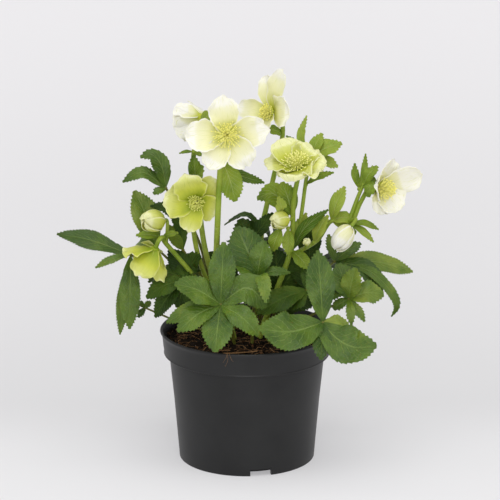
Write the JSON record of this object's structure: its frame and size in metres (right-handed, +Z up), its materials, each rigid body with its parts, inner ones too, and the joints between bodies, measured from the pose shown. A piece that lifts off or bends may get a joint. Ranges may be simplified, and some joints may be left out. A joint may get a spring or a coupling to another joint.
{
  "type": "potted plant",
  "caption": "Potted hellebore in flower: a round black nursery pot of soil, fingered green leaves, and white and yellow-green blooms and buds on upright stems.",
  "frame": {"origin": "centre of the pot's foot, on the surface it stands on", "axes": "+Z up along the pot's axis, -Y towards the viewer of the picture, +X to that viewer's right"},
  "size_m": [0.3543, 0.2138, 0.3824],
  "materials": {
    "lime_sepal": "yellow-green sepal, soft",
    "stamen_yellow": "yellow stamens, matt",
    "white_sepal": "cream-white sepal with a green base, soft",
    "dark_leaf_green": "dark green leaf, slightly glossy",
    "leaf_green": "mid green leaf, slightly glossy",
    "pot_plastic": "black moulded plastic, satin",
    "potting_soil": "dark brown potting soil with coir fibres, dull",
    "stem_green": "yellow-green stem and bracts, satin"
  },
  "bodies": {
    "root": {"broad_bloom_sepals": "lime_sepal", "broad_bloom_stamens": "stamen_yellow", "front_bloom_sepals": "white_sepal", "front_bloom_stamens": "stamen_yellow", "green_bloom_sepals": "lime_sepal", "green_bloom_stamens": "stamen_yellow", "leaf_back_centre": "dark_leaf_green", "leaf_back_left": "dark_leaf_green", "leaf_back_middle": "dark_leaf_green", "leaf_back_right": "dark_leaf_green", "leaf_back_upper": "dark_leaf_green", "leaf_centre": "leaf_green", "leaf_far_left": "leaf_green", "leaf_far_right": "leaf_green", "leaf_front_left": "leaf_green", "leaf_front_right": "leaf_green", "leaf_inner_back": "dark_leaf_green", "leaf_inner_left": "dark_leaf_green", "leaf_inner_right": "dark_leaf_green", "leaf_low_left": "dark_leaf_green", "leaf_mid_right": "dark_leaf_green", "leaf_right": "leaf_green", "leaf_small_low": "leaf_green", "leaf_tall_left": "leaf_green", "leaf_upper_left": "leaf_green", "left_bloom_sepals": "lime_sepal", "left_bloom_stamens": "stamen_yellow", "left_bud": "lime_sepal", "middle_bud": "lime_sepal", "pot": "pot_plastic", "right_bloom_sepals": "white_sepal", "right_bloom_stamens": "stamen_yellow", "right_bud": "white_sepal", "side_bloom_sepals": "white_sepal", "side_bloom_stamens": "stamen_yellow", "small_bud": "lime_sepal", "soil": "potting_soil", "stem_broad_bloom": "stem_green", "stem_front_bloom": "stem_green", "stem_green_bloom": "stem_green", "stem_left_bloom": "stem_green", "stem_side_bloom": "stem_green", "stem_top_bloom": "stem_green", "top_bloom_sepals": "white_sepal", "top_bloom_stamens": "stamen_yellow"}
  },
  "joints": []
}
